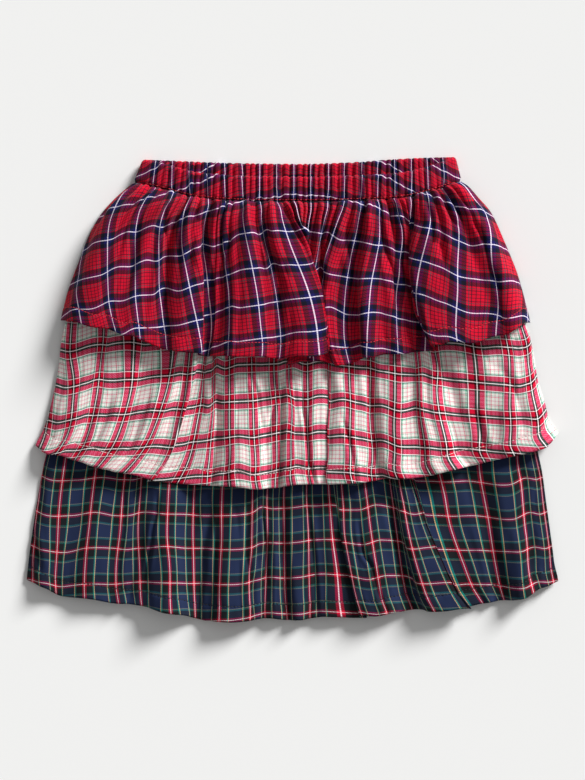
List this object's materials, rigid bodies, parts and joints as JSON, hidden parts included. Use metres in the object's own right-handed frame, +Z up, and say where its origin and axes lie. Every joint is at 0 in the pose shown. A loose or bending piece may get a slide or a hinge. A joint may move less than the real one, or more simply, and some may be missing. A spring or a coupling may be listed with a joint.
{
  "type": "tiered ruffle skirt",
  "caption": "Child's elastic-waist skirt laid flat, front up, with flared ruffle tiers overlapping from a gathered casing down to the hem.",
  "frame": {"origin": "centre of the skirt's bounding box, on the surface that it lies on", "axes": "+X across the skirt to the right as its front is seen, +Y towards the waist, +Z up from the surface"},
  "size_m": [0.4268, 0.3735, 0.0238],
  "materials": {
    "upper_plaid": "woven cotton plaid, red with black, navy and thin white and green lines, matt",
    "middle_plaid": "woven cotton plaid, cream with red, green and black bands, matt",
    "lower_plaid": "woven cotton plaid, navy and black with green, tan and thin red and white lines, matt"
  },
  "bodies": {
    "root": {"waistband_front": "upper_plaid", "waistband_back": "upper_plaid", "tier1_front": "upper_plaid", "tier1_back": "upper_plaid", "tier2_front": "middle_plaid", "tier2_back": "middle_plaid", "tier3_front": "lower_plaid", "tier3_back": "lower_plaid"}
  },
  "joints": []
}
